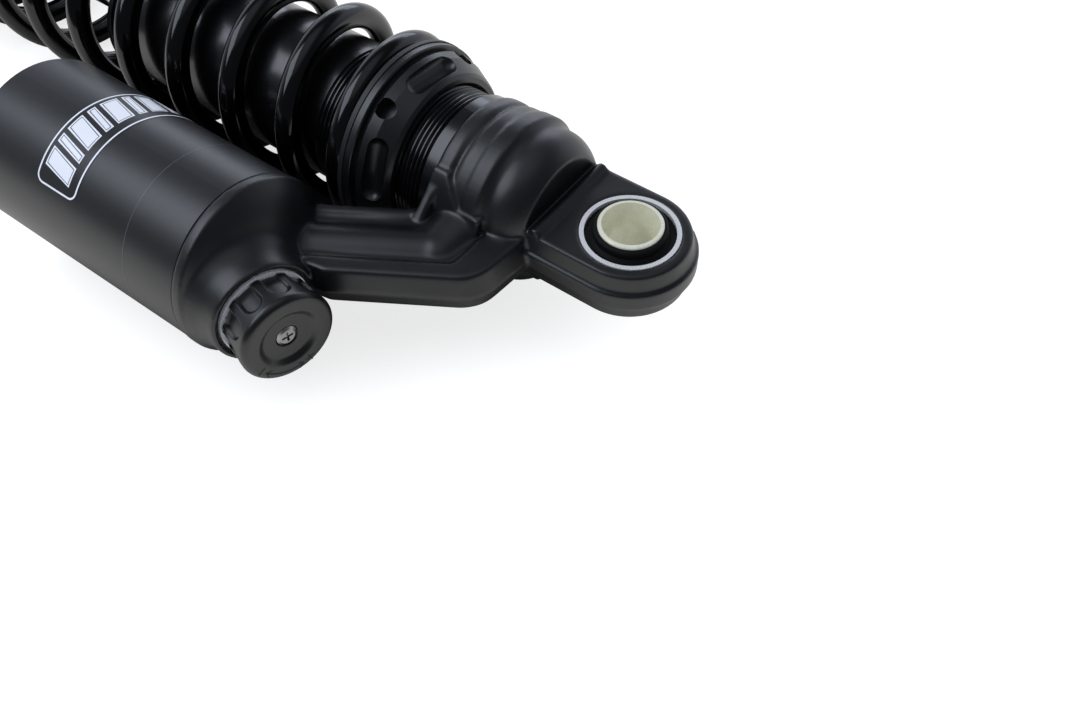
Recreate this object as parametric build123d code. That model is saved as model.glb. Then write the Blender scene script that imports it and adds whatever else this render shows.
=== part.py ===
from build123d import *
import math
import os

# Motorcycle shock absorber with a piggyback reservoir, all lengths in millimetres.
# The origin is the upper eye's centre, +X runs from the lower eye to the upper eye, the
# reservoir is on the -Y side, and +Z is along the bolts through both eyes.
# A name that ends in _d is a distance from the upper eye's centre towards the lower eye.

# Overall lengths
eye_to_eye = 336.0
stroke = 80.0

# Fits and gaps
running_clearance = 0.03
thread_clearance = 0.05
assembly_gap = 0.2
thin_gap = 0.02

# Eyes and rubber bushes, the same at both ends
bolt_r = 8.0
inner_sleeve_wall = 1.1
inner_sleeve_stand_out = 3.0
bush_r = 14.0
bush_wall = 1.3
rubber_recess = 1.2
rubber_collar_height = 2.2
rubber_collar_wall = 1.15
eye_r = 19.2
eye_ledge_half_width = 2.9
eye_side_r = 18.1
eye_draft = 11.5
eye_thickness = 16.4
eye_edge_round = 1.0

# Milled step behind the upper eye and the rib in front of it
milled_step_d = 23.2
rib_d = 20.4
rib_r = 1.9
rib_length = 33.4

# Cylinder head
head_face_d = 53.0
head_r = 24.4
head_band_r = 24.8
head_band_near_d = 36.5
head_band_far_d = 41.2
head_valley_depth = 0.9
head_waist_r = 23.0
head_waist_d = 32.0
head_waist_length = 1.5
head_dome_d = 17.0
oil_chamber_r = 15.0
oil_chamber_length = 8.0
body_spigot_length = 15.0

# Damper body
damper_bore_r = 18.0
thread_crest_r = 22.3
thread_depth = 0.9
thread_pitch = 1.5
thread_length = 41.0
body_spigot_r = 21.4
body_shoulder_r = 23.4
body_shoulder_length = 3.6
body_length = 153.0

# Piston rod and the parts clamped on its end
rod_r = 7.0
rod_stud_r = 5.0
rod_bore_r = 2.4
rod_port_r = 1.2
stud_head_clearance = 4.6
nut_length = 9.0
nut_across_flats = 17.0
backing_washer_thickness = 2.0
backing_washer_r = 10.0
shim_thickness = 0.5
shim_count = 6
shim_small_r = 9.0
shim_large_r = 14.0
piston_length = 12.0
piston_clearance = 0.3
piston_band_width = 7.0
piston_band_depth = 1.6
piston_port_r = 1.8
piston_port_ring_r = 11.5
piston_port_count = 8
rod_port_space = 4.0
top_out_washer_thickness = 1.5
top_out_washer_r = 11.0
top_out_rubber_length = 4.5
top_out_rubber_r = 10.5

# Seal head at the open end of the body
seal_head_length = 24.0
guide_bush_wall = 1.2
guide_bush_length = 11.0
rod_seal_r = 11.5
rod_seal_length = 5.0
wiper_r = 11.0
wiper_length = 4.0
snap_ring_wire_r = 0.7
end_cap_thickness = 2.6
end_cap_r = 21.9

# Preload ring and its thrust washer
preload_front_d = 65.6
preload_front_r = 26.1
preload_shoulder_r = 29.5
preload_rim_r = 30.7
preload_rim_width = 2.4
preload_ring_length = 13.4
preload_hole_r = 3.0
preload_hole_inset = 6.0
preload_feature_count = 5
preload_hole_angle = -30.0
preload_slot_length = 20.0
preload_slot_r = 3.25
preload_slot_inset = 9.0
preload_slot_floor_r = 24.7
spring_pilot_length = 5.0
thrust_washer_thickness = 1.5

# Coil spring
wire_r = 3.8
coil_r = 27.5
active_pitch = 23.9
closed_pitch = 7.0
closed_turns = 0.7
ground_depth = 4.2
spring_tip_angle = 250.0
spring_ease_turns = 0.5
spring_points_per_turn = 12

# Lower spring seat, bump rubber and lower eye bracket
seat_thickness = 4.0
seat_rim_r = 32.0
seat_slot_clearance = 0.5
pilot_clearance = 0.25
pilot_wall = 3.0
bump_rubber_length = 16.0
bump_rubber_r = 15.0
rod_socket_length = 14.5
bracket_half_width = 9.0
bracket_half_height = 17.0
window_to_eye = 19.5
wheel_thickness = 7.2
wheel_r = 12.4
wheel_notch_r = 1.4
wheel_notch_count = 14
wheel_end_gap = 0.4
needle_rod_r = 2.3

# Reservoir
reservoir_offset = 64.5
reservoir_r = 26.2
reservoir_bore_r = 23.0
reservoir_flange_r = 26.5
reservoir_flange_d = 80.0
reservoir_flange_width = 3.7
reservoir_spigot_length = 12.3
reservoir_spigot_wall = 4.1
reservoir_thread_wall = 2.0
reservoir_length = 86.0
reservoir_dome_height = 8.0
floating_piston_d = 112.0
floating_piston_length = 15.0
floating_band_width = 5.0
cap_inset = 6.0
cap_thickness = 7.0
cap_clearance = 0.05
valve_boss_r = 6.5
gas_valve_r = 3.5
valve_cap_r = 5.2

# Bridge between the head and the reservoir, in the plane of the two axes
bridge_start = (-58.4, -28.4)
bridge_angle = 31.5
bridge_width = 27.1
bridge_length = 28.0
bridge_outer_end = 17.0
bridge_outer_corner = (-22.0, -38.2)
bridge_outer_corner_r = 14.0
bridge_draft = 20.0
bridge_half_thickness = 6.5
bridge_web_half_thickness = 5.2
bridge_rim_width = 2.8
bridge_edge_round = 1.0
bridge_corner_r = 9.0
bridge_band_offset = 19.8
bridge_band_d = 32.8
passage_offset = 11.8
passage_ridge_r = 7.6
passage_elbow_d = 41.8
passage_elbow_r = 8.0
passage_root_r = 10.2
passage_r = 3.5

# Forged pad that the turned faces of the head run out against, and the flange behind it
pad_r = 25.3
pad_near_d = 34.2
pad_half_height = 10.2
pad_step_d = 41.6
pad_slope_d = 48.0
pad_far_half_height = 17.2
flange_thickness = 3.0
flange_reach = 29.5
flange_half_height = 6.3

# Compression adjuster, on an axis that leans away from the damper
knob_x = -66.2
knob_y = -74.9
knob_angle = 13.0
knob_base_r = 13.0
knob_face_r = 13.8
knob_height = 12.1
knob_gap = 0.1
knob_flute_count = 10
knob_flute_r = 2.0
knob_flute_depth = 0.75
knob_flute_length = 8.4
knob_flute_angle = 16.0
knob_dish_r = 8.4
knob_dish_depth = 1.5
knob_screw_r = 3.0
knob_screw_head = 1.6
boss_r = 15.7
boss_root_r = 19.5
boss_length = 12.0
boss_recess_r = 14.3
boss_recess_depth = 1.3
detent_ring_r = 13.3
detent_ring_bore_r = 9.5
detent_ring_thickness = 1.1
detent_ball_r = 1.2
detent_count = 12
cartridge_r = 8.5
cartridge_length = 18.0
cartridge_nose_r = 6.0
spindle_r = 3.0
needle_r = 2.6
needle_length = 7.0
spindle_depth = 8.0
needle_travel_room = 1.6

# O-ring sections
small_ring_wire_r = 0.9
large_ring_wire_r = 1.2

# Stations worked out from the sizes above
body_start_d = head_face_d - body_spigot_length
body_end_d = body_start_d + body_length
stud_end_d = body_start_d + stud_head_clearance + stroke
nut_d = stud_end_d + 1.0
rebound_washer_d = nut_d + nut_length
rebound_shims_d = rebound_washer_d + backing_washer_thickness
shim_stack = shim_count * shim_thickness
piston_d = rebound_shims_d + shim_stack
compression_shims_d = piston_d + piston_length
compression_washer_d = compression_shims_d + shim_stack
rod_shoulder_d = compression_washer_d + backing_washer_thickness
top_out_washer_d = rod_shoulder_d + rod_port_space
top_out_rubber_d = top_out_washer_d + top_out_washer_thickness
seal_head_d = top_out_rubber_d + top_out_rubber_length + assembly_gap
seal_head_end_d = seal_head_d + seal_head_length
preload_end_d = preload_front_d + preload_ring_length
spring_top_d = preload_end_d + thrust_washer_thickness + 2 * thin_gap
window_end_d = eye_to_eye - window_to_eye
bracket_window_d = window_end_d - wheel_thickness - 2 * wheel_end_gap
bracket_top_d = bracket_window_d - rod_socket_length
spring_bottom_d = bracket_top_d - seat_thickness - thin_gap
pilot_r = coil_r - wire_r - pilot_clearance
flange_end_d = reservoir_flange_d + reservoir_flange_width
tube_start_d = flange_end_d + thin_gap
tube_end_d = tube_start_d + reservoir_length
spigot_end_d = flange_end_d + reservoir_spigot_length
cap_end_d = tube_end_d - cap_inset
cap_d = cap_end_d - cap_thickness
spigot_r = reservoir_r - reservoir_thread_wall

# Places: each has local Z along its own axis and local X towards +Z of the part
damper_axis = Plane((0, 0, 0), x_dir=(0, 0, 1), z_dir=(-1, 0, 0)).location
reservoir_axis = Plane((0, -reservoir_offset, 0), x_dir=(0, 0, 1), z_dir=(-1, 0, 0)).location
knob_lean = math.radians(knob_angle)
knob_direction = (math.cos(knob_lean), -math.sin(knob_lean), 0)
knob_axis = Plane((knob_x, knob_y, 0), x_dir=(0, 0, 1), z_dir=knob_direction).location
lower_eye = Pos(-eye_to_eye, 0, 0)
bridge_lean = math.radians(bridge_angle)
bridge_along = Vector(-math.cos(bridge_lean), -math.sin(bridge_lean), 0)
bridge_across = Vector(math.sin(bridge_lean), -math.cos(bridge_lean), 0)


def turned(outline):
    """A solid turned about local Z from (z, radius) points."""
    return revolve(make_face(Polyline(*[(r, 0, z) for z, r in outline], close=True)), Axis.Z)


def ring(start, end, inner_r, outer_r):
    """A plain ring, or a disc where the inner radius is 0."""
    return turned([(start, inner_r), (end, inner_r), (end, outer_r), (start, outer_r)])


def o_ring(z, middle_r, wire_r):
    """A round-section ring."""
    return Pos(0, 0, z) * Torus(middle_r, wire_r)


def around(count, start_angle=0.0):
    """Locations evenly spaced round local Z."""
    return [Rot(0, 0, start_angle + 360.0 * i / count) for i in range(count)]


def bridge_point(along, across):
    """A point of the bridge in the plane of the two axes."""
    start = Vector(*bridge_start, 0)
    return start + bridge_along * along + bridge_across * across


def eye_tongue(back_length):
    """Round-nosed forged eye with a parting ledge and drafted sides, running back along -X."""
    def outline(radius):
        return Circle(radius) + Pos(-back_length / 2, 0) * Rectangle(back_length, 2 * radius)

    side_height = eye_thickness / 2 - eye_ledge_half_width
    side = extrude(Pos(0, 0, eye_ledge_half_width) * outline(eye_side_r), side_height, taper=eye_draft)
    side = fillet(side.faces().sort_by(Axis.Z)[-1].edges(), eye_edge_round)
    ledge = extrude(outline(eye_r), eye_ledge_half_width, both=True)
    ledge = chamfer(ledge.edges().group_by(Axis.Z)[0] + ledge.edges().group_by(Axis.Z)[-1], 0.4)
    return ledge + side + mirror(side, about=Plane.XY)


def head_shell():
    """The head's turned outside: dome, waist, raised band and the skirt over the body."""
    valley_d = head_face_d - 6.0
    waist_end_d = head_waist_d + head_waist_length
    middle_r = head_waist_r + 0.3 * (head_band_r - head_waist_r)
    middle_d = (waist_end_d + head_band_near_d) / 2
    nose = Plane.XZ * EllipticalCenterArc(
        (0, head_waist_d), head_waist_r, head_waist_d - head_dome_d, start_angle=270, arc_size=90
    )
    waist = Line((head_waist_r, 0, head_waist_d), (head_waist_r, 0, waist_end_d))
    flare = ThreePointArc(
        (head_waist_r, 0, waist_end_d),
        (middle_r, 0, middle_d),
        (head_band_r, 0, head_band_near_d),
    )
    skirt = Polyline(
        (head_band_r, 0, head_band_near_d),
        (head_band_r, 0, head_band_far_d),
        (head_r, 0, head_band_far_d + 0.3),
        (head_r, 0, valley_d - 1.4),
        (head_r - head_valley_depth, 0, valley_d),
        (head_r, 0, valley_d + 1.8),
        (head_r, 0, head_face_d - 0.7),
        (head_r - 0.7, 0, head_face_d),
        (0, 0, head_face_d),
        (0, 0, head_dome_d),
    )
    return revolve(make_face(nose + waist + flare + skirt), Axis.Z)


def reservoir_shell():
    """Domed front of the reservoir head with its flange and the threaded spigot."""
    front_d = reservoir_flange_d - reservoir_dome_height
    outline = Polyline(
        (0, 0, front_d),
        (0, 0, spigot_end_d),
        (spigot_r - 0.6, 0, spigot_end_d),
        (spigot_r, 0, spigot_end_d - 0.6),
        (spigot_r, 0, flange_end_d),
        (reservoir_flange_r, 0, flange_end_d),
        (reservoir_flange_r, 0, reservoir_flange_d + 0.5),
        (reservoir_flange_r - 0.7, 0, reservoir_flange_d),
    )
    dome = ThreePointArc(
        (reservoir_flange_r - 0.7, 0, reservoir_flange_d),
        (0.72 * reservoir_flange_r, 0, reservoir_flange_d - 0.62 * reservoir_dome_height),
        (0, 0, front_d),
    )
    return revolve(make_face(outline + dome), Axis.Z)


def valve_boss():
    """Flared boss that carries the compression adjuster."""
    return turned([
        (-boss_length - 6.0, 0),
        (0.2, 0),
        (0.2, boss_r - 0.6),
        (-0.4, boss_r),
        (-0.45 * boss_length, boss_r + 0.7),
        (-boss_length, boss_root_r),
        (-boss_length - 6.0, boss_root_r),
    ])


def bridge_outline():
    """Flat outline of the bridge at the parting plane, closed inside the two heads."""
    widened = bridge_half_thickness * math.tan(math.radians(bridge_draft))
    inner_start = bridge_point(0, -widened)
    inner_end = bridge_point(bridge_length, -widened)
    outer_end = bridge_point(bridge_outer_end, bridge_width)
    inside_d = flange_end_d
    return make_face(FilletPolyline(
        (-head_dome_d - 8.0, 0),
        (-head_dome_d - 3.5, -eye_side_r),
        bridge_outer_corner,
        (outer_end.X, outer_end.Y),
        (outer_end.X - 6.0, outer_end.Y - 1.0),
        (-inside_d + 4.0, -reservoir_offset - 8.0),
        (-inside_d, -reservoir_offset),
        (-inside_d, inner_end.Y - 2.0),
        (inner_end.X, inner_end.Y),
        (inner_start.X, inner_start.Y),
        (-head_face_d, 0.6 - head_r + widened),
        (-head_face_d, 0),
        radius=(0, 0, bridge_outer_corner_r, 3.5, 0, 0, 0, 0, 3.0, bridge_corner_r, 0, 0),
        close=True,
    ))


def bridge_floor():
    """Outline of the sunk floor on both sides of the ridge."""
    end = bridge_length + 4.0
    slope = bridge_along.Y / bridge_along.X
    band_start = bridge_point(0, bridge_band_offset)
    corner_y = band_start.Y + slope * (-bridge_band_d - band_start.X)
    rim_start = bridge_point(0, bridge_rim_width)
    flange_x = flange_thickness - head_face_d
    points = [
        bridge_point(end, bridge_rim_width),
        bridge_point(end, bridge_band_offset),
        (-bridge_band_d, corner_y),
        (-bridge_band_d, -eye_side_r),
        (flange_x, -eye_side_r),
        (flange_x, rim_start.Y + slope * (flange_x - rim_start.X)),
    ]
    return make_face(Polyline(*points, close=True))


def passage_ridge():
    """Rounded ridge over the oil passage, with an elbow and a flared leg into the head."""
    slope = bridge_along.Y / bridge_along.X
    ridge_start = bridge_point(0, passage_offset)
    elbow = Vector(-passage_elbow_d, ridge_start.Y + slope * (-passage_elbow_d - ridge_start.X), 0)
    ridge_end = bridge_point(bridge_length + 4.0, passage_offset)
    ridge = extrude(Plane(elbow, z_dir=bridge_along) * Circle(passage_ridge_r), (ridge_end - elbow).length)
    bend = Pos(*elbow) * Sphere(passage_elbow_r)
    reach = elbow.Y + eye_side_r
    leg = Plane((elbow.X, elbow.Y - reach / 2, 0), z_dir=(0, 1, 0))
    leg *= Cone(passage_elbow_r, passage_root_r, -reach)
    return ridge + bend + leg


def bridge():
    """Drafted web with a sunk floor, a raised rim and band, and the ridge over the oil passage."""
    outline = bridge_outline()
    half = mirror(extrude(outline, bridge_half_thickness, taper=bridge_draft), about=Plane.XY)
    half = fillet(half.faces().sort_by(Axis.Z)[-1].edges(), bridge_edge_round)
    floor = Pos(0, 0, bridge_web_half_thickness) * bridge_floor()
    half -= extrude(floor, bridge_half_thickness, dir=(0, 0, 1))
    return half + mirror(half, about=Plane.XY) + passage_ridge()


def head_pad():
    """Pad left by the forging beside the turned faces, and the thin flange up the head's face."""
    corners = [
        (-head_face_d, pad_far_half_height),
        (-pad_slope_d, pad_far_half_height),
        (-pad_step_d, pad_half_height),
        (-pad_near_d, pad_half_height),
    ]
    corners += [(x, -z) for x, z in reversed(corners)]
    pad = extrude(Plane.XZ * make_face(Polyline(*corners, close=True)), 2 * pad_r)
    pad &= damper_axis * ring(head_dome_d, head_face_d, 0, pad_r)
    side = Plane((-head_face_d, 0, 0), x_dir=(0, -1, 0), z_dir=(1, 0, 0))
    root = math.sqrt(head_r ** 2 - pad_far_half_height ** 2)
    corners = [(0, 0), (root, pad_far_half_height), (flange_reach, flange_half_height)]
    corners += [(flange_reach, -flange_half_height), (root, -pad_far_half_height)]
    return pad + extrude(side * make_face(Polyline(*corners, close=True)), flange_thickness)


def oil_passages():
    """Drillings that join the damper chamber, the adjuster and the reservoir."""
    slope = bridge_along.Y / bridge_along.X
    ridge_start = bridge_point(0, passage_offset)
    entry = Vector(-passage_elbow_d, ridge_start.Y + slope * (-passage_elbow_d - ridge_start.X), 0)
    exit_point = bridge_point(bridge_length - 3.0, passage_offset)
    chamber = Vector(-body_start_d + 4.5, -0.8 * oil_chamber_r, 0)
    valve = Vector(exit_point.X, knob_y, 0)
    legs = ((chamber, entry), (entry, exit_point), (exit_point, valve))
    cut = Pos(*entry) * Sphere(passage_r) + Pos(*exit_point) * Sphere(passage_r)
    for a, b in legs:
        cut += extrude(Plane(a, z_dir=b - a) * Circle(passage_r), (b - a).length)
    return cut


def cylinder_head():
    """One forging: upper eye, head of the damper, bridge and head of the reservoir."""
    body = eye_tongue(head_dome_d + 10.0)
    body += damper_axis * head_shell()
    body += head_pad()
    body += bridge()
    body += reservoir_axis * reservoir_shell()
    body += (knob_axis * valve_boss()) & (reservoir_axis * ring(0, flange_end_d, 0, 2 * boss_root_r))
    half = eye_thickness / 2
    clear = 4 * eye_r
    for side in (1, -1):
        body -= Pos(clear / 2 - milled_step_d, 0, side * (half + clear / 2)) * Box(clear, clear, clear)
        body += Pos(-rib_d, 0, side * (half - 0.3)) * Rot(90, 0, 0) * Cylinder(rib_r, rib_length)
    body -= Cylinder(bush_r, 2 * eye_thickness)
    body -= damper_axis * ring(body_start_d, head_face_d + 1.0, 0, body_spigot_r + thin_gap)
    body -= damper_axis * ring(head_face_d, preload_front_d, 0, body_shoulder_r + assembly_gap)
    body -= damper_axis * ring(body_start_d - oil_chamber_length, body_start_d, 0, oil_chamber_r)
    cavity_r = spigot_r - reservoir_spigot_wall
    body -= reservoir_axis * ring(flange_end_d, spigot_end_d + 1.0, 0, cavity_r)
    body -= knob_axis * ring(-boss_recess_depth, knob_height, 0, boss_recess_r)
    body -= knob_axis * ring(-cartridge_length + 4.0, 1.0, 0, cartridge_r)
    body -= knob_axis * ring(-cartridge_length - 6.0, 1.0, 0, cartridge_nose_r + 0.6)
    body -= oil_passages()
    groove_d = flange_end_d + 0.4 * reservoir_spigot_length
    body -= reservoir_axis * o_ring(groove_d, spigot_r - large_ring_wire_r + 0.2, large_ring_wire_r)
    return body


def bush_outer_sleeve():
    """Steel sleeve pressed into an eye."""
    half = eye_thickness / 2
    return ring(-half, half, bush_r - bush_wall, bush_r)


def bush_rubber():
    """Rubber between the two sleeves, dished at both ends, with a collar up the inner one."""
    floor = eye_thickness / 2 - rubber_recess
    collar_end = eye_thickness / 2 + rubber_collar_height
    inner_r = bolt_r + inner_sleeve_wall + running_clearance
    collar_r = inner_r + rubber_collar_wall
    upper = [
        (floor, bush_r - bush_wall),
        (floor, collar_r + 0.9),
        (floor + 0.9, collar_r),
        (collar_end - 0.4, collar_r),
        (collar_end, collar_r - 0.4),
        (collar_end, inner_r),
    ]
    lower = [(-z, r) for z, r in reversed(upper)]
    return turned(upper + lower)


def bush_inner_sleeve():
    """Steel sleeve that the mounting bolt clamps."""
    half = eye_thickness / 2 + inner_sleeve_stand_out
    outer_r = bolt_r + inner_sleeve_wall
    return turned([
        (-half, bolt_r),
        (half, bolt_r),
        (half, outer_r - 0.3),
        (half - 0.3, outer_r),
        (-half + 0.3, outer_r),
        (-half, outer_r - 0.3),
    ])


def damper_body():
    """Cylinder with a spigot for the head, a shoulder and an outside thread drawn as rings."""
    thread_start_d = head_face_d + assembly_gap + body_shoulder_length
    outline = [
        (body_start_d, body_spigot_r - 0.5),
        (body_start_d + 0.5, body_spigot_r),
        (head_face_d, body_spigot_r),
        (head_face_d + assembly_gap, body_spigot_r),
        (head_face_d + assembly_gap, body_shoulder_r),
        (thread_start_d, body_shoulder_r),
        (thread_start_d + 0.5, thread_crest_r - thread_depth),
    ]
    first_d = thread_start_d + thread_pitch
    for i in range(int(thread_length / thread_pitch)):
        at_d = first_d + i * thread_pitch
        outline += [
            (at_d, thread_crest_r - thread_depth),
            (at_d + 0.4 * thread_pitch, thread_crest_r),
            (at_d + 0.6 * thread_pitch, thread_crest_r),
        ]
    outline += [
        (body_end_d - 0.6, thread_crest_r - thread_depth),
        (body_end_d, thread_crest_r - thread_depth - 0.6),
        (body_end_d, damper_bore_r),
        (body_start_d, damper_bore_r),
    ]
    body = turned(outline)
    ring_d = seal_head_end_d + snap_ring_wire_r + assembly_gap
    return body - o_ring(ring_d, damper_bore_r + 0.1, snap_ring_wire_r)


def body_o_ring():
    """Dust ring in the joint between head and body."""
    return ring(head_face_d + thin_gap, head_face_d + assembly_gap - thin_gap,
                body_spigot_r, body_shoulder_r - 0.3)


def preload_pocket():
    """Pocket milled with a ball-nosed cutter, with a round floor and round ends."""
    middle = Pos(preload_slot_floor_r + preload_slot_r, 0, preload_end_d - preload_slot_inset)
    half = preload_slot_length / 2 - preload_slot_r
    pocket = middle * Rot(90, 0, 0) * Cylinder(preload_slot_r, 2 * half)
    for end in (-half, half):
        pocket += middle * Pos(0, end, 0) * Sphere(preload_slot_r)
    return pocket


def preload_ring():
    """Threaded ring with tool holes, weight-saving pockets and a pilot for the spring."""
    bore_r = thread_crest_r + thread_clearance
    end_d = preload_end_d
    rim_d = end_d - preload_rim_width
    body = turned([
        (preload_front_d, bore_r + 1.2),
        (preload_front_d, preload_front_r - 0.9),
        (preload_front_d + 0.9, preload_front_r),
        (preload_front_d + 0.45 * preload_ring_length, preload_shoulder_r - 0.8),
        (rim_d - 1.6, preload_shoulder_r),
        (rim_d - 1.0, preload_shoulder_r - 0.8),
        (rim_d, preload_shoulder_r - 0.8),
        (rim_d, preload_rim_r - 0.3),
        (rim_d + 0.3, preload_rim_r),
        (end_d, preload_rim_r),
        (end_d, pilot_r),
        (end_d + spring_pilot_length, pilot_r),
        (end_d + spring_pilot_length, bore_r),
        (preload_front_d + 1.2, bore_r),
    ])
    hole_d = end_d - preload_hole_inset
    for turn in around(preload_feature_count, preload_hole_angle):
        hole = Pos(preload_slot_floor_r, 0, hole_d) * Rot(0, 90, 0)
        hole *= Cylinder(preload_hole_r, 20.0, align=(Align.CENTER, Align.CENTER, Align.MIN))
        body -= turn * hole
        body -= turn * Rot(0, 0, 180.0 / preload_feature_count) * preload_pocket()
    return body


def spring_thrust_washer():
    """Washer that lets the preload ring turn under the spring."""
    start_d = preload_end_d + thin_gap
    return ring(start_d, start_d + thrust_washer_thickness,
                pilot_r + running_clearance, preload_rim_r + 0.3)


def pitch_ramp(turns):
    """Turns taken at the active pitch, with the pitch easing in over half a turn."""
    share = min(max(turns / spring_ease_turns + 0.5, 0.0), 1.0)
    eased = spring_ease_turns * (share ** 3 - 0.5 * share ** 4)
    return eased + max(turns - 0.5 * spring_ease_turns, 0.0)


def coil_spring():
    """Round wire spring with its ends closed and ground flat."""
    travel = spring_bottom_d - spring_top_d - 2 * (wire_r - ground_depth)
    active_turns = (travel - 2 * closed_turns * closed_pitch) / active_pitch
    total_turns = active_turns + 2 * closed_turns
    extra_pitch = (travel - closed_pitch * total_turns) / active_turns
    first_d = spring_top_d + wire_r - ground_depth
    count = int(total_turns * spring_points_per_turn)
    points = []
    for i in range(count + 1):
        turns = total_turns * i / count
        angle = 2 * math.pi * turns - math.radians(spring_tip_angle)
        rising = turns - closed_turns
        active = pitch_ramp(rising) - pitch_ramp(rising - active_turns)
        station = first_d + closed_pitch * turns + extra_pitch * active
        points.append((coil_r * math.cos(angle), coil_r * math.sin(angle), station))
    path = Spline(*points)
    wire = sweep(Plane(path @ 0, z_dir=path % 0) * Circle(wire_r), path=path, is_frenet=True)
    room = ring(spring_top_d, spring_bottom_d, 0, coil_r + 3 * wire_r)
    return wire & room


def lower_spring_seat():
    """Slotted seat that slips sideways round the rod and holds the spring's lower end."""
    top_d = bracket_top_d - seat_thickness
    body = turned([
        (top_d, 0),
        (top_d, pilot_r - pilot_wall),
        (top_d - spring_pilot_length, pilot_r - pilot_wall),
        (top_d - spring_pilot_length, pilot_r - 0.5),
        (top_d - spring_pilot_length + 0.5, pilot_r),
        (top_d, pilot_r),
        (top_d, seat_rim_r - 0.8),
        (top_d + 0.8, seat_rim_r),
        (bracket_top_d - 1.2, seat_rim_r),
        (bracket_top_d, seat_rim_r - 1.2),
        (bracket_top_d, 0),
    ])
    slot_r = rod_r + seat_slot_clearance
    slot_length = 2 * seat_rim_r
    slot = Pos(0, slot_length / 2, bracket_top_d) * Box(2 * slot_r, slot_length, 40.0)
    return body - slot - ring(top_d - 1.0, bracket_top_d + 1.0, 0, slot_r)


def piston_rod():
    """Hollow rod with a stud for the piston and a thread in the lower eye bracket."""
    body = turned([
        (stud_end_d, rod_bore_r),
        (stud_end_d, rod_stud_r - 0.5),
        (stud_end_d + 0.5, rod_stud_r),
        (rod_shoulder_d, rod_stud_r),
        (rod_shoulder_d, rod_r - 0.4),
        (rod_shoulder_d + 0.4, rod_r),
        (bracket_window_d - assembly_gap, rod_r),
        (bracket_window_d - assembly_gap, rod_bore_r),
    ])
    port_d = rod_shoulder_d + 0.5 * rod_port_space
    port = Pos(0, 0, port_d) * Rot(90, 0, 0) * Cylinder(rod_port_r, 4 * rod_r)
    return body - port


def piston():
    """Piston with two rings of ports and a groove for its band."""
    outer_r = damper_bore_r - piston_clearance
    middle_d = piston_d + piston_length / 2
    body = ring(piston_d, compression_shims_d, rod_stud_r, outer_r)
    body -= ring(middle_d - piston_band_width / 2, middle_d + piston_band_width / 2,
                 outer_r - piston_band_depth, outer_r + 1.0)
    for turn in around(piston_port_count):
        port = Pos(piston_port_ring_r, 0, middle_d) * Cylinder(piston_port_r, 2 * piston_length)
        body -= turn * port
    return body


def piston_band():
    """Low-friction band that runs in the bore."""
    middle_d = piston_d + piston_length / 2
    half = piston_band_width / 2 - running_clearance
    inner_r = damper_bore_r - piston_clearance - piston_band_depth
    return ring(middle_d - half, middle_d + half, inner_r, damper_bore_r - running_clearance)


def shim_stack_from(start_d, large_first):
    """Thin discs that step down in size away from the piston, each its own solid."""
    discs = []
    for i in range(shim_count):
        step = i if large_first else shim_count - 1 - i
        share = step / (shim_count - 1)
        outer_r = shim_large_r + (shim_small_r - shim_large_r) * share
        disc_d = start_d + i * shim_thickness
        discs.append(ring(disc_d, disc_d + shim_thickness - thin_gap, rod_stud_r, outer_r))
    return Compound(children=[damper_axis * disc for disc in discs])


def backing_washers():
    """Washers behind both shim stacks."""
    pair = []
    for start_d in (rebound_washer_d, compression_washer_d):
        end_d = start_d + backing_washer_thickness - thin_gap
        pair.append(damper_axis * ring(start_d, end_d, rod_stud_r, backing_washer_r))
    return Compound(children=pair)


def piston_nut():
    """Hexagon nut that clamps the piston and shims on the stud."""
    hexagon = RegularPolygon(nut_across_flats / 2, 6, major_radius=False)
    nut = Pos(0, 0, nut_d) * extrude(hexagon, nut_length - thin_gap)
    return nut - ring(stud_end_d - 1.0, rebound_washer_d + 1.0, 0, rod_stud_r)


def top_out_washer():
    """Washer that carries the top-out rubber up the rod."""
    return ring(top_out_washer_d, top_out_rubber_d - thin_gap, rod_r, top_out_washer_r)


def top_out_rubber():
    """Rubber ring that meets the seal head at full length."""
    end_d = top_out_rubber_d + top_out_rubber_length
    return turned([
        (top_out_rubber_d, rod_r),
        (top_out_rubber_d, top_out_rubber_r),
        (end_d - 1.0, top_out_rubber_r),
        (end_d, top_out_rubber_r - 1.0),
        (end_d, rod_r),
    ])


def seal_head():
    """Closes the body round the rod, with seats for bush, seal and wiper."""
    bush_seat_r = rod_r + running_clearance + guide_bush_wall
    bush_end_d = seal_head_d + 2.0 + guide_bush_length
    seal_end_d = bush_end_d + 0.4 + rod_seal_length
    body = ring(seal_head_d, seal_head_end_d, rod_r + 0.5, damper_bore_r)
    body -= ring(seal_head_d + 2.0, bush_end_d, 0, bush_seat_r)
    body -= ring(bush_end_d + 0.4, seal_end_d, 0, rod_seal_r)
    body -= ring(seal_head_end_d - wiper_length, seal_head_end_d + 1.0, 0, wiper_r)
    groove_d = seal_head_d + 0.5 * seal_head_length
    return body - o_ring(groove_d, damper_bore_r - large_ring_wire_r, large_ring_wire_r + 0.05)


def rod_guide_bush():
    """Thin bush that guides the rod."""
    start_d = seal_head_d + 2.0
    bore_r = rod_r + running_clearance
    return ring(start_d, start_d + guide_bush_length, bore_r, bore_r + guide_bush_wall)


def rod_seal():
    """Main oil seal on the rod."""
    start_d = seal_head_d + 2.0 + guide_bush_length + 0.4
    return ring(start_d, start_d + rod_seal_length, rod_r + running_clearance, rod_seal_r)


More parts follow.
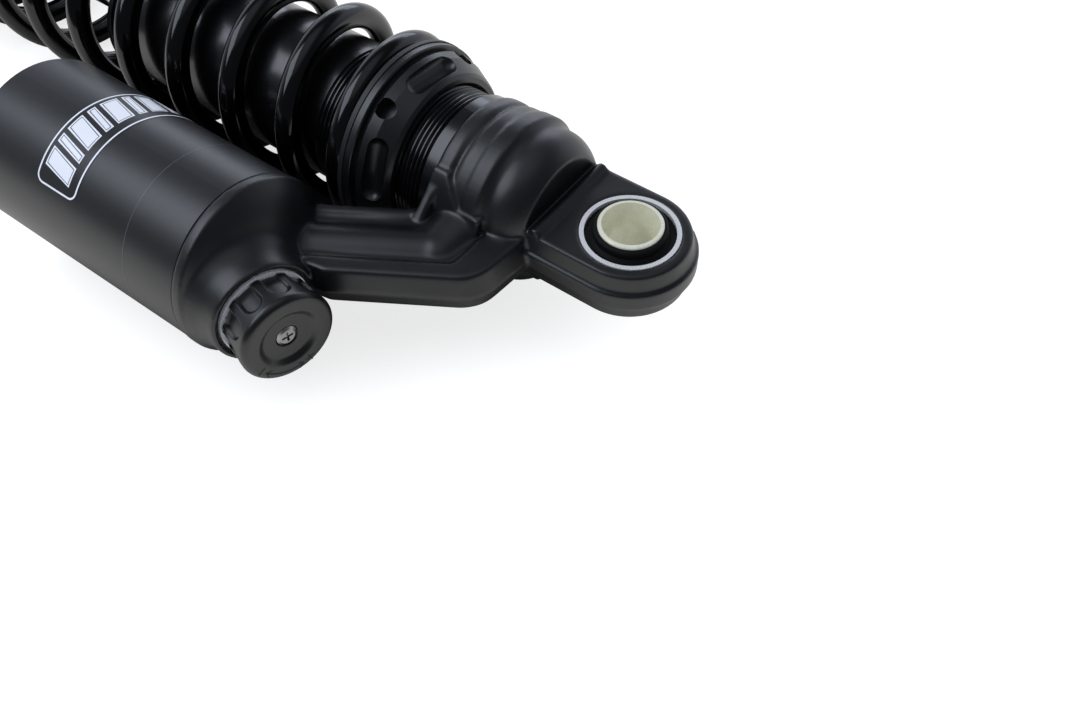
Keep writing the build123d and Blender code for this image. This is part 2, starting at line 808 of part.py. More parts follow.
def dust_wiper():
    """Wiper that keeps dirt off the rod seal, with a lip that stands out."""
    lip_end_d = seal_head_end_d + 1.2
    bore_r = rod_r + running_clearance
    return turned([
        (seal_head_end_d - wiper_length, bore_r),
        (seal_head_end_d - wiper_length, wiper_r),
        (seal_head_end_d - 0.2, wiper_r),
        (lip_end_d, bore_r + 1.0),
        (lip_end_d, bore_r),
    ])


def seal_head_o_ring():
    """O-ring between seal head and body."""
    groove_d = seal_head_d + 0.5 * seal_head_length
    return o_ring(groove_d, damper_bore_r - large_ring_wire_r, large_ring_wire_r)


def seal_head_snap_ring():
    """Wire ring that keeps the seal head in the body."""
    ring_d = seal_head_end_d + snap_ring_wire_r + assembly_gap
    wire = o_ring(ring_d, damper_bore_r + 0.1, snap_ring_wire_r)
    return wire - Pos(damper_bore_r, 0, ring_d) * Box(6.0, 4.0, 6.0)


def body_end_cap():
    """Pressed dust cap over the open end of the body."""
    lip_r = damper_bore_r - 0.4
    return turned([
        (body_end_d + thin_gap, lip_r),
        (body_end_d + thin_gap, end_cap_r),
        (body_end_d + end_cap_thickness - 0.8, end_cap_r),
        (body_end_d + end_cap_thickness, end_cap_r - 0.8),
        (body_end_d + end_cap_thickness, rod_r + 2.2),
        (seal_head_end_d + 2.4, rod_r + 2.2),
        (seal_head_end_d + 2.4, lip_r),
    ])


def bump_rubber():
    """Ribbed rubber on the rod that ends the stroke."""
    end_d = bracket_top_d - seat_thickness - spring_pilot_length - thin_gap
    start_d = end_d - bump_rubber_length + spring_pilot_length
    pocket_d = bracket_top_d - seat_thickness - thin_gap
    middle_d = (start_d + end_d) / 2
    return turned([
        (start_d, rod_r + running_clearance),
        (start_d, bump_rubber_r - 3.5),
        (start_d + 2.0, bump_rubber_r - 1.0),
        (middle_d - 1.5, bump_rubber_r),
        (middle_d, bump_rubber_r - 1.6),
        (middle_d + 1.5, bump_rubber_r),
        (pocket_d, bump_rubber_r),
        (pocket_d, rod_r + running_clearance),
    ])


def bracket_block():
    """Block that takes the rod's thread and frames the rebound wheel."""
    nose_d = eye_to_eye - bush_r + 2.0
    length = nose_d - bracket_top_d
    block = Pos(0, 0, bracket_top_d + length / 2)
    block *= Box(2 * bracket_half_height, 2 * bracket_half_width, length)
    block = fillet(block.edges().filter_by(Axis.Z), 5.0)
    flange = ring(bracket_top_d, bracket_top_d + 3.0, 0, bracket_half_height + 1.0)
    shoulder = turned([
        (bracket_top_d + 3.0, 0),
        (bracket_top_d + 3.0, bracket_half_height + 1.0),
        (bracket_top_d + 8.0, bracket_half_height - 3.0),
        (bracket_window_d, bracket_half_height - 3.0),
        (bracket_window_d, 0),
    ])
    return block + flange + shoulder


def lower_eye_bracket():
    """Lower eye with its socket for the rod and the window for the rebound wheel."""
    neck = eye_to_eye - window_end_d - 2.0
    body = lower_eye * Rot(0, 0, 180) * eye_tongue(neck)
    body += damper_axis * bracket_block()
    window_length = window_end_d - bracket_window_d
    window_height = 2 * (wheel_r + 0.5)
    window = Pos(0, 0, bracket_window_d + window_length / 2)
    window *= Box(window_height, 4 * bracket_half_height, window_length)
    body -= damper_axis * window
    body -= damper_axis * ring(bracket_top_d - 1.0, bracket_window_d + 1.0, 0, rod_r)
    body -= damper_axis * ring(window_end_d - 1.0, window_end_d + 2.0, 0, needle_rod_r + 0.2)
    body -= lower_eye * Cylinder(bush_r, 2 * eye_thickness)
    pocket_end_d = window_end_d + 3.4
    body -= damper_axis * Pos(rod_r, 0, 0) * ring(window_end_d - 1.0, pocket_end_d, 0, detent_ball_r + 0.1)
    return body


def rebound_adjuster_wheel():
    """Notched wheel turned by a finger to set rebound damping."""
    start_d = bracket_window_d + wheel_end_gap
    end_d = start_d + wheel_thickness
    wheel = turned([
        (start_d, needle_rod_r + running_clearance),
        (start_d, wheel_r - 0.6),
        (start_d + 0.6, wheel_r),
        (end_d - 0.6, wheel_r),
        (end_d, wheel_r - 0.6),
        (end_d, needle_rod_r + running_clearance),
    ])
    for turn in around(wheel_notch_count):
        notch = Pos(wheel_r + 0.3, 0, (start_d + end_d) / 2)
        wheel -= turn * notch * Cylinder(wheel_notch_r, 2 * wheel_thickness)
    return wheel


def rebound_needle_rod():
    """Long rod inside the piston rod, with a tapered end at the ports."""
    tip_d = rod_shoulder_d - 6.0
    end_d = bracket_window_d + wheel_end_gap + wheel_thickness + 1.0
    return turned([
        (tip_d, 0),
        (tip_d + 6.0, rod_bore_r - 0.9),
        (rod_shoulder_d + rod_port_space, rod_bore_r - 0.9),
        (rod_shoulder_d + rod_port_space + 1.0, needle_rod_r),
        (end_d, needle_rod_r),
        (end_d, 0),
    ])


def rebound_detent_ball():
    """Click ball under the rebound wheel."""
    ball_d = window_end_d - wheel_end_gap + thin_gap + detent_ball_r
    return Pos(rod_r, 0, ball_d) * Sphere(detent_ball_r)


def detent_coil(start, end):
    """Tiny coil spring behind a click ball."""
    wire = 0.2
    path = Helix((end - start - 2 * wire) / 3.0, end - start - 2 * wire, detent_ball_r - 0.35)
    coil = sweep(Plane(path @ 0, z_dir=path % 0) * Circle(wire), path=path, is_frenet=True)
    return Pos(0, 0, start + wire) * coil


def rebound_detent_spring():
    """Spring that presses the rebound click ball."""
    start_d = window_end_d - wheel_end_gap + 2 * thin_gap + 2 * detent_ball_r
    end_d = window_end_d + 3.4
    return Pos(rod_r, 0, 0) * detent_coil(start_d, end_d)


def reservoir_tube():
    """Reservoir cylinder, counterbored for the head's spigot and open at the far end."""
    joint_r = spigot_r + thread_clearance
    ring_d = cap_end_d + snap_ring_wire_r + thin_gap
    body = turned([
        (tube_start_d, joint_r),
        (tube_start_d, reservoir_r - 0.4),
        (tube_start_d + 0.4, reservoir_r),
        (tube_end_d - 1.2, reservoir_r),
        (tube_end_d, reservoir_r - 1.2),
        (tube_end_d, reservoir_bore_r + 0.4),
        (tube_end_d - 0.4, reservoir_bore_r),
        (spigot_end_d + 0.5, reservoir_bore_r),
        (spigot_end_d + 0.5, joint_r),
    ])
    return body - o_ring(ring_d, reservoir_bore_r + 0.1, snap_ring_wire_r)


def reservoir_o_ring():
    """O-ring between the reservoir tube and the head's spigot."""
    groove_d = flange_end_d + 0.4 * reservoir_spigot_length
    return o_ring(groove_d, spigot_r - large_ring_wire_r + 0.2, large_ring_wire_r - 0.2)


def floating_piston():
    """Cup that keeps the gas apart from the oil."""
    end_d = floating_piston_d + floating_piston_length
    outer_r = reservoir_bore_r - piston_clearance
    band_d = floating_piston_d + 2.0
    body = turned([
        (floating_piston_d, 0),
        (floating_piston_d, outer_r - 0.8),
        (floating_piston_d + 0.8, outer_r),
        (end_d, outer_r),
        (end_d, outer_r - 4.5),
        (floating_piston_d + 4.0, outer_r - 4.5),
        (floating_piston_d + 4.0, 0),
    ])
    body -= ring(band_d, band_d + floating_band_width, outer_r - 1.5, outer_r + 1.0)
    groove_d = band_d + floating_band_width + 3.0
    middle_r = reservoir_bore_r - running_clearance - large_ring_wire_r
    return body - o_ring(groove_d, middle_r, large_ring_wire_r + 0.02)


def floating_piston_band():
    """Guide band of the floating piston."""
    band_d = floating_piston_d + 2.0
    inner_r = reservoir_bore_r - piston_clearance - 1.5
    return ring(band_d + thin_gap, band_d + floating_band_width - thin_gap,
                inner_r, reservoir_bore_r - running_clearance)


def floating_piston_o_ring():
    """O-ring of the floating piston."""
    groove_d = floating_piston_d + 2.0 + floating_band_width + 3.0
    middle_r = reservoir_bore_r - running_clearance - large_ring_wire_r
    return o_ring(groove_d, middle_r, large_ring_wire_r)


def reservoir_end_cap():
    """Plug with a raised boss for the gas valve."""
    outer_r = reservoir_bore_r - cap_clearance
    body = turned([
        (cap_d, gas_valve_r),
        (cap_d, outer_r),
        (cap_end_d - 0.5, outer_r),
        (cap_end_d, outer_r - 0.5),
        (cap_end_d, reservoir_bore_r - 4.0),
        (cap_end_d - 1.5, reservoir_bore_r - 5.5),
        (cap_end_d - 1.5, valve_boss_r + 1.5),
        (cap_end_d, valve_boss_r),
        (cap_end_d + 1.0, valve_boss_r),
        (cap_end_d + 1.0, gas_valve_r),
    ])
    groove_d = cap_d + 0.5 * cap_thickness
    return body - o_ring(groove_d, outer_r - large_ring_wire_r, large_ring_wire_r + 0.02)


def end_cap_o_ring():
    """O-ring of the end cap."""
    groove_d = cap_d + 0.5 * cap_thickness
    return o_ring(groove_d, reservoir_bore_r - cap_clearance - large_ring_wire_r, large_ring_wire_r)


def end_cap_snap_ring():
    """Wire ring that the gas pressure pushes the end cap against."""
    ring_d = cap_end_d + snap_ring_wire_r + thin_gap
    wire = o_ring(ring_d, reservoir_bore_r + 0.1, snap_ring_wire_r)
    return wire - Pos(reservoir_bore_r, 0, ring_d) * Box(6.0, 5.0, 6.0)


def gas_valve():
    """Filling valve for the nitrogen."""
    start_d = cap_d + 0.5
    end_d = cap_end_d + 2.6
    return turned([
        (start_d, 0),
        (start_d, gas_valve_r),
        (cap_end_d + 1.0, gas_valve_r),
        (cap_end_d + 1.0, gas_valve_r - 0.8),
        (end_d, gas_valve_r - 0.8),
        (end_d, 0.8),
        (end_d - 2.0, 0.8),
        (end_d - 2.0, 0),
    ])


def gas_valve_cap():
    """Screw cap over the gas valve."""
    start_d = cap_end_d + 1.0 + thin_gap
    end_d = cap_end_d + 4.4
    cap = turned([
        (start_d, gas_valve_r - 0.8 + thread_clearance),
        (start_d, valve_cap_r),
        (end_d - 0.6, valve_cap_r),
        (end_d, valve_cap_r - 0.6),
        (end_d, 0),
        (end_d - 1.2, 0),
        (end_d - 1.2, gas_valve_r - 0.8 + thread_clearance),
    ])
    for turn in around(6):
        cap -= turn * Pos(valve_cap_r + 0.5, 0, start_d) * Cylinder(1.0, 20.0)
    return cap


def valve_cartridge():
    """Compression valve body, screwed into the boss, with its seat at the inner end."""
    shoulder = -cartridge_length + 4.0
    bore_r = spindle_r + running_clearance
    body = turned([
        (-boss_recess_depth, bore_r),
        (-boss_recess_depth, cartridge_r),
        (shoulder, cartridge_r),
        (shoulder, cartridge_nose_r),
        (-cartridge_length - 2.0, cartridge_nose_r),
        (-cartridge_length - 2.0, 1.2),
        (-cartridge_length, 1.2),
        (-cartridge_length + 1.4, bore_r),
    ])
    body -= o_ring(shoulder + 3.0, cartridge_r - small_ring_wire_r, small_ring_wire_r + 0.02)
    port_z = shoulder - 1.6
    for turn in around(2):
        port = turn * Pos(0, 0, port_z) * Rot(0, 90, 0) * Cylinder(1.2, 4 * cartridge_r)
        body -= port
    return body


def cartridge_o_ring():
    """O-ring of the valve cartridge."""
    ring_z = -cartridge_length + 7.0
    return o_ring(ring_z, cartridge_r - small_ring_wire_r, small_ring_wire_r)


def adjuster_spindle():
    """Spindle that the knob turns, tapped for the knob's screw."""
    body = ring(-spindle_depth, knob_height - knob_dish_depth - 3.0, 0, spindle_r)
    top = knob_height - knob_dish_depth - 3.0
    return body - ring(top - 5.0, top + 1.0, 0, 0.5 * knob_screw_r)


def compression_needle():
    """Needle that the spindle's thread moves in and out of the valve seat."""
    top = -spindle_depth - needle_travel_room
    tip = top - needle_length
    return turned([
        (tip, 0),
        (tip, 0.4),
        (tip + 2.6, needle_r),
        (top, needle_r),
        (top, 0),
    ])


def detent_ring():
    """Bright ring with dimples for the click ball."""
    start = -boss_recess_depth
    end = start + detent_ring_thickness
    body = ring(start, end, detent_ring_bore_r, detent_ring_r)
    for turn in around(detent_count):
        dimple_r = (detent_ring_bore_r + detent_ring_r) / 2
        body -= turn * Pos(dimple_r, 0, end + 0.7 * detent_ball_r) * Sphere(detent_ball_r)
    return body


def knob_detent_ball():
    """Click ball in the knob, over one of the ring's dimples."""
    top = -boss_recess_depth + detent_ring_thickness
    dimple_r = (detent_ring_bore_r + detent_ring_r) / 2
    return Pos(dimple_r, 0, top + thin_gap + detent_ball_r) * Sphere(detent_ball_r)


def knob_detent_spring():
    """Spring that presses the knob's click ball."""
    start = -boss_recess_depth + detent_ring_thickness + 2 * thin_gap + 2 * detent_ball_r
    dimple_r = (detent_ring_bore_r + detent_ring_r) / 2
    return Pos(dimple_r, 0, 0) * detent_coil(start, start + 3.0)


def compression_knob():
    """Fluted hand knob with a dished face."""
    top = knob_height
    dish = top - knob_dish_depth
    body = turned([
        (knob_gap, spindle_r),
        (knob_gap, knob_base_r),
        (top - 1.2, knob_face_r),
        (top - 0.35, knob_face_r - 0.35),
        (top, knob_face_r - 1.2),
        (top, knob_dish_r),
        (dish + 0.4, knob_dish_r - 0.7),
        (dish, knob_dish_r - 1.4),
        (dish, knob_screw_r + 0.2),
        (dish - 3.0, knob_screw_r + 0.2),
        (dish - 3.0, spindle_r),
    ])
    groove_r = knob_base_r + knob_flute_r - knob_flute_depth
    for turn in around(knob_flute_count, -knob_flute_angle):
        end = knob_flute_length - knob_flute_r
        flute = Pos(groove_r, 0, end / 2) * Cylinder(knob_flute_r, end)
        flute += Pos(groove_r, 0, end) * Sphere(knob_flute_r)
        body -= turn * flute
    dimple_r = (detent_ring_bore_r + detent_ring_r) / 2
    start = knob_gap - 1.0
    end = knob_gap + 2 * detent_ball_r + 3.4
    return body - Pos(dimple_r, 0, 0) * ring(start, end, 0, detent_ball_r + 0.1)


def knob_screw():
    """Cross-head screw that holds the knob on the spindle."""
    seat = knob_height - knob_dish_depth - 3.0
    head_end = seat + 3.0 + 0.2
    body = turned([
        (seat - 4.5, 0),
        (seat - 4.5, 0.5 * knob_screw_r),
        (seat + thin_gap, 0.5 * knob_screw_r),
        (seat + thin_gap, knob_screw_r),
        (head_end - 0.5, knob_screw_r),
        (head_end, knob_screw_r - 0.8),
        (head_end, 0),
    ])
    for angle in (0, 90):
        body -= Pos(0, 0, head_end) * Rot(0, 0, angle) * Box(3.4, 0.7, knob_screw_head)
    return body


def on_damper(solid):
    """Puts a turned piece on the damper's axis."""
    return damper_axis * solid


parts = {
    "cylinder_head": cylinder_head(),
    "upper_bush_outer_sleeve": bush_outer_sleeve(),
    "upper_bush_rubber": bush_rubber(),
    "upper_bush_inner_sleeve": bush_inner_sleeve(),
    "damper_body": on_damper(damper_body()),
    "body_joint_ring": on_damper(body_o_ring()),
    "preload_ring": on_damper(preload_ring()),
    "spring_thrust_washer": on_damper(spring_thrust_washer()),
    "coil_spring": on_damper(coil_spring()),
    "lower_spring_seat": on_damper(lower_spring_seat()),
    "piston_rod": on_damper(piston_rod()),
    "piston": on_damper(piston()),
    "piston_band": on_damper(piston_band()),
    "rebound_shims": shim_stack_from(rebound_shims_d, large_first=False),
    "compression_shims": shim_stack_from(compression_shims_d, large_first=True),
    "shim_backing_washers": backing_washers(),
    "piston_nut": on_damper(piston_nut()),
    "top_out_washer": on_damper(top_out_washer()),
    "top_out_rubber": on_damper(top_out_rubber()),
    "seal_head": on_damper(seal_head()),
    "rod_guide_bush": on_damper(rod_guide_bush()),
    "rod_seal": on_damper(rod_seal()),
    "dust_wiper": on_damper(dust_wiper()),
    "seal_head_o_ring": on_damper(seal_head_o_ring()),
    "seal_head_snap_ring": on_damper(seal_head_snap_ring()),
    "body_end_cap": on_damper(body_end_cap()),
    "bump_rubber": on_damper(bump_rubber()),
    "lower_eye_bracket": lower_eye_bracket(),
    "lower_bush_outer_sleeve": lower_eye * bush_outer_sleeve(),
    "lower_bush_rubber": lower_eye * bush_rubber(),
    "lower_bush_inner_sleeve": lower_eye * bush_inner_sleeve(),
    "rebound_adjuster_wheel": on_damper(rebound_adjuster_wheel()),
    "rebound_needle_rod": on_damper(rebound_needle_rod()),
    "rebound_detent_ball": on_damper(rebound_detent_ball()),
    "rebound_detent_spring": on_damper(rebound_detent_spring()),
    "reservoir_tube": reservoir_axis * reservoir_tube(),
    "reservoir_o_ring": reservoir_axis * reservoir_o_ring(),
    "floating_piston": reservoir_axis * floating_piston(),
    "floating_piston_band": reservoir_axis * floating_piston_band(),
    "floating_piston_o_ring": reservoir_axis * floating_piston_o_ring(),
    "reservoir_end_cap": reservoir_axis * reservoir_end_cap(),
    "end_cap_o_ring": reservoir_axis * end_cap_o_ring(),
    "end_cap_snap_ring": reservoir_axis * end_cap_snap_ring(),
    "gas_valve": reservoir_axis * gas_valve(),
    "gas_valve_cap": reservoir_axis * gas_valve_cap(),
    "valve_cartridge": knob_axis * valve_cartridge(),
    "cartridge_o_ring": knob_axis * cartridge_o_ring(),
    "adjuster_spindle": knob_axis * adjuster_spindle(),
    "compression_needle": knob_axis * compression_needle(),
    "detent_ring": knob_axis * detent_ring(),
    "knob_detent_ball": knob_axis * knob_detent_ball(),
    "knob_detent_spring": knob_axis * knob_detent_spring(),
    "compression_knob": knob_axis * compression_knob(),
    "knob_screw": knob_axis * knob_screw(),
}

os.makedirs("parts", exist_ok=True)
for name, solid in parts.items():
    export_step(solid, f"parts/{name}.step")
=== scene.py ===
import math

import bpy
import numpy as np
from mathutils import Matrix, Vector


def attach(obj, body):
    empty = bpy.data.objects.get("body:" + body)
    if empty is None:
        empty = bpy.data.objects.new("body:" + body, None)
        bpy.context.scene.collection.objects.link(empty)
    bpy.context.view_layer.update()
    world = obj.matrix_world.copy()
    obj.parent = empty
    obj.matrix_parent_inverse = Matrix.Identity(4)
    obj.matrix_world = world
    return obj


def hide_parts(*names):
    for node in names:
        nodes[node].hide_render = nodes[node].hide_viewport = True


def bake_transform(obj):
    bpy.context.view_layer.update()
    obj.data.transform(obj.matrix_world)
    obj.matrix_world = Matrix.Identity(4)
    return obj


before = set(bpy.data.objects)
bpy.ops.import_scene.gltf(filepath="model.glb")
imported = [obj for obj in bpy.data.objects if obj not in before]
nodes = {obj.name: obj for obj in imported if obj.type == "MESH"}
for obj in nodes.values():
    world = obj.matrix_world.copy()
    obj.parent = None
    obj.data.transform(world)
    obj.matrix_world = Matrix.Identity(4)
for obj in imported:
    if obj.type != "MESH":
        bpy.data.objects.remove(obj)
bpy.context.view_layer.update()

mm = 0.001


# Cylinder head and lower eye bracket
# Aluminium forgings, shot blasted, machined on their joint faces and painted satin black.
# The blast leaves a fine grain under the paint, and the paint rounds every edge a little.

def linear(colour):
    """An sRGB hex colour as the linear numbers that a shader takes."""
    parts = [int(colour[i:i + 2], 16) / 255 for i in (1, 3, 5)]
    return [c / 12.92 if c <= 0.04045 else ((c + 0.055) / 1.055) ** 2.4 for c in parts] + [1.0]


def add(tree, kind, sockets, **settings):
    """A node with its settings; each socket takes a value or a link from another node."""
    node = tree.nodes.new(kind)
    for name, value in settings.items():
        setattr(node, name, value)
    for name, value in sockets.items():
        if isinstance(value, bpy.types.NodeSocket):
            tree.links.new(value, node.inputs[name])
        else:
            node.inputs[name].default_value = value
    return node


def finish(name, colour, **values):
    """A new material. Values name the sockets of its shader."""
    material = bpy.data.materials.new(name)
    material.use_nodes = True
    shader = material.node_tree.nodes["Principled BSDF"]
    shader.inputs["Base Color"].default_value = linear(colour)
    for socket, value in values.items():
        shader.inputs[socket.replace("_", " ")].default_value = value
    return material


def drive(material, socket, output):
    """Lets a node's output drive one socket of the material's shader."""
    tree = material.node_tree
    tree.links.new(output, tree.nodes["Principled BSDF"].inputs[socket])


def grained(material, size, detail, polished, dull):
    """A grain of that size that takes the roughness from polished to dull. Returns its height."""
    tree = material.node_tree
    place = add(tree, "ShaderNodeTexCoord", {}).outputs["Object"]
    grain = add(tree, "ShaderNodeTexNoise", {"Vector": place, "Scale": 1 / size, "Detail": detail})
    height = grain.outputs["Fac"]
    gloss = add(tree, "ShaderNodeMapRange", {
        "Value": height, "From Min": 0.3, "From Max": 0.7, "To Min": polished, "To Max": dull,
    })
    drive(material, "Roughness", gloss.outputs["Result"])
    return height


def dress(material, *names):
    """Gives CAD nodes their material."""
    for name in names:
        piece = nodes[name]
        if not piece.material_slots:
            piece.data.materials.append(None)
        for slot in piece.material_slots:
            slot.material = material


def into_scene(name, mesh, material):
    """A new object in the scene with that mesh and material."""
    mesh.materials.append(material)
    piece = bpy.data.objects.new(name, mesh)
    bpy.context.scene.collection.objects.link(piece)
    return piece


# Satin paint: a soft sheen over the blasted grain, in clouds some millimetres wide.
paint = finish("satin black paint on a forging", "#0e0f11", IOR=1.6)
blast_grain = 0.35 * mm
paint_cloud = 9 * mm
paint_rounding = 0.7 * mm
grained(paint, paint_cloud, detail=3.0, polished=0.34, dull=0.42)
tree = paint.node_tree
place = add(tree, "ShaderNodeTexCoord", {}).outputs["Object"]
grain = add(tree, "ShaderNodeTexNoise", {"Vector": place, "Scale": 1 / blast_grain, "Detail": 2.0})
round_edge = add(tree, "ShaderNodeBevel", {"Radius": paint_rounding}, samples=8)
bump = add(tree, "ShaderNodeBump", {
    "Height": grain.outputs["Fac"], "Strength": 0.22, "Distance": 0.05 * mm,
    "Normal": round_edge.outputs["Normal"],
})
drive(paint, "Normal", bump.outputs["Normal"])
dress(paint, "lower_eye_bracket")


def corner_sums(faces, values, count):
    """Adds each face's value to its corners."""
    total = np.zeros((count, 3))
    for corner in range(4):
        for axis in range(3):
            total[:, axis] += np.bincount(faces[:, corner], values[:, axis], count)
    return total


def outward(points, faces):
    """The unit normal at each point."""
    across = np.cross(points[faces[:, 2]] - points[faces[:, 0]], points[faces[:, 3]] - points[faces[:, 1]])
    total = corner_sums(faces, across, len(points))
    shortest = 1e-18
    return total / np.maximum(np.linalg.norm(total, axis=1), shortest)[:, None]


def middle_of_neighbours(points, faces, counts):
    """Each point's faces' middles, averaged."""
    return corner_sums(faces, points[faces].mean(axis=1), len(points)) / counts[:, None]


def smooth_step(values, start, end):
    """0 before start, 1 after end."""
    share = np.clip((values - start) / (end - start), 0, 1)
    return share * share * (3 - 2 * share)


# The CAD head is wrapped in one even skin of small quads.
forging_voxel = 0.42 * mm
source = nodes["cylinder_head"].copy()
source.data = nodes["cylinder_head"].data.copy()
source.parent = None
source.matrix_world = Matrix.Identity(4)
bpy.context.scene.collection.objects.link(source)
remesh = source.modifiers.new("skin", "REMESH")
remesh.mode = "VOXEL"
remesh.voxel_size = forging_voxel
bpy.context.view_layer.update()
skin = bpy.data.meshes.new_from_object(source.evaluated_get(bpy.context.evaluated_depsgraph_get()))
bpy.data.objects.remove(source)
points = np.empty(len(skin.vertices) * 3)
skin.vertices.foreach_get("co", points)
points = points.reshape(-1, 3)
faces = np.empty(len(skin.polygons) * 4, dtype=np.int64)
skin.polygons.foreach_get("vertices", faces)
faces = faces.reshape(-1, 4)
counts = np.bincount(faces.ravel(), minlength=len(points)).astype(float)

# The forging's own corners are filled: lightly along the bridge and round the knob's boss,
# widely where the bridge's inner edge sweeps up to the head. The machined faces keep theirs:
# the eye, the turned dome and bands, the joints and the knob's recess.
# These sizes are in millimetres, and a pair says where a fade starts and where it ends.
beside_damper = (13.0, 18.0)
behind_eye = (24.5, 27.0)
dome_r = 21.8
bands_from = (30.0, 31.5)
bands_r = (25.2, 26.4)
knob_x = -66.2
knob_y = -74.9
knob_lean = math.radians(13.0)
recess_floor = (-3.5, -2.0)
recess_r = 17.5
reservoir_y = -64.5
reservoir_r = 26.2
tube_joint = (76.0, 78.0)
tube_joint_r = 27.5
sweep_x = -56.0
sweep_y = -27.0
sweep_spread = 5.0
bridge_fill = 0.12
boss_fill = 0.22
boss_from = (50.0, 56.0)

x, y, z = points.T / mm
from_axis = np.hypot(y, z)
cast = smooth_step(-y, *beside_damper) * smooth_step(-x, *behind_eye) * (from_axis > dome_r)
cast *= 1 - (1 - smooth_step(from_axis, *bands_r)) * smooth_step(-x, *bands_from)
along_knob = (x - knob_x) * math.cos(knob_lean) - (y - knob_y) * math.sin(knob_lean)
across_knob = (x - knob_x) * math.sin(knob_lean) + (y - knob_y) * math.cos(knob_lean)
cast *= 1 - smooth_step(along_knob, *recess_floor) * (np.hypot(across_knob, z) < recess_r)
from_tube = np.hypot(y - reservoir_y, z)
cast *= 1 - smooth_step(-x, *tube_joint) * (from_tube < tube_joint_r)
sweep = np.exp(-((x - sweep_x) ** 2 + (y - sweep_y) ** 2) / (2 * sweep_spread ** 2))
fill = cast * np.clip(bridge_fill + sweep + boss_fill * smooth_step(-y, *boss_from), 0, 1)

# Each round lifts only the points that lie in a hollow. The last rounds even out the skin,
# the first few of them everywhere and the others on the forged faces alone.
fill_rounds = 150
rounds_per_normal = 4
evening_rounds = 8
all_over_rounds = 3
evening = 0.7
for step in range(fill_rounds):
    move = middle_of_neighbours(points, faces, counts) - points
    if step % rounds_per_normal == 0:
        normal = outward(points, faces)
    rise = np.maximum((move * normal).sum(axis=1), 0.0)
    points += (fill * rise)[:, None] * normal
for step in range(evening_rounds):
    share = evening if step < all_over_rounds else evening * cast[:, None]
    points += share * (middle_of_neighbours(points, faces, counts) - points)
skin.vertices.foreach_set("co", points.ravel())
skin.update()
skin.shade_smooth()
skin.materials.clear()
head = into_scene("head_forging", skin, paint)
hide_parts("cylinder_head")
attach(head, "damper_and_head")


# Bushes in the two eyes
# A steel outer sleeve pressed into the eye, rubber bonded between it and the inner sleeve,
# and the inner sleeve that the bolt clamps, zinc plated and passivated yellow.

# Moulded rubber: dull black with the faint pores of the mould's face.
rubber = finish("moulded black rubber", "#0b0b0b", Roughness=0.6, IOR=1.3)
mould_grain = 0.5 * mm
tree = rubber.node_tree
place = add(tree, "ShaderNodeTexCoord", {}).outputs["Object"]
pores = add(tree, "ShaderNodeTexNoise", {"Vector": place, "Scale": 1 / mould_grain, "Detail": 3.0})
bump = add(tree, "ShaderNodeBump", {
    "Height": pores.outputs["Fac"], "Strength": 0.25, "Distance": 0.05 * mm,
})
drive(rubber, "Normal", bump.outputs["Normal"])
dress(rubber, "upper_bush_rubber", "lower_bush_rubber", "top_out_rubber", "body_joint_ring",
      "seal_head_o_ring", "rod_seal", "dust_wiper", "reservoir_o_ring", "end_cap_o_ring",
      "floating_piston_o_ring", "cartridge_o_ring")

# Zinc plate on turned steel: pale and bright with a sparkle of fine grit. The plate's own
# grit is finer, and is drawn 0.3 mm wide so that it shows.
zinc = finish("bright zinc plate", "#f2f1ee", Metallic=0.35)
plate_grit = 0.3 * mm
grit = grained(zinc, plate_grit, detail=3.0, polished=0.2, dull=0.38)
bump = add(zinc.node_tree, "ShaderNodeBump", {
    "Height": grit, "Strength": 0.35, "Distance": 0.06 * mm,
})
drive(zinc, "Normal", bump.outputs["Normal"])
dress(zinc, "upper_bush_outer_sleeve", "lower_bush_outer_sleeve", "piston_nut", "top_out_washer",
      "adjuster_spindle", "detent_ring")

# Passivation takes unevenly: cloudy patches from straw yellow to almost white.
passivated = finish("yellow passivated zinc plate", "#d4d2b6", Metallic=0.15)
stain_width = 2.4 * mm
tree = passivated.node_tree
place = add(tree, "ShaderNodeTexCoord", {}).outputs["Object"]
stain = add(tree, "ShaderNodeTexNoise", {
    "Vector": place, "Scale": 1 / stain_width, "Detail": 4.0, "Roughness": 0.6,
})
tint = add(tree, "ShaderNodeMix", {
    0: stain.outputs["Fac"], 6: linear("#e0dbb0"), 7: linear("#fbfbf0"),
}, data_type="RGBA")
gloss = add(tree, "ShaderNodeMapRange", {
    "Value": stain.outputs["Fac"], "From Min": 0.3, "From Max": 0.7, "To Min": 0.3, "To Max": 0.18,
})
drive(passivated, "Base Color", tint.outputs[2])
drive(passivated, "Roughness", gloss.outputs["Result"])
dress(passivated, "upper_bush_inner_sleeve", "lower_bush_inner_sleeve")


# Damper body
# Aluminium tube, hard anodised, with the thread for the preload ring cut on its outside.
# Turned fine before it is anodised, it is a smooth deep black that mirrors the coils.

# The anodic layer's grain is finer than 0.1 mm, and is drawn 0.4 mm wide so that it shows.
hard_anodised = finish("hard anodised black", "#0c0c0e", IOR=1.6)
tube_grain = 0.4 * mm
grained(hard_anodised, tube_grain, detail=3.0, polished=0.17, dull=0.25)
dress(hard_anodised, "damper_body")


# Preload ring, body end cap, spring seat, wheel and knob
# Turned and milled from aluminium bar, etched and anodised satin black, with every edge
# broken. The knob sits on its spindle over the boss and is held by its screw.

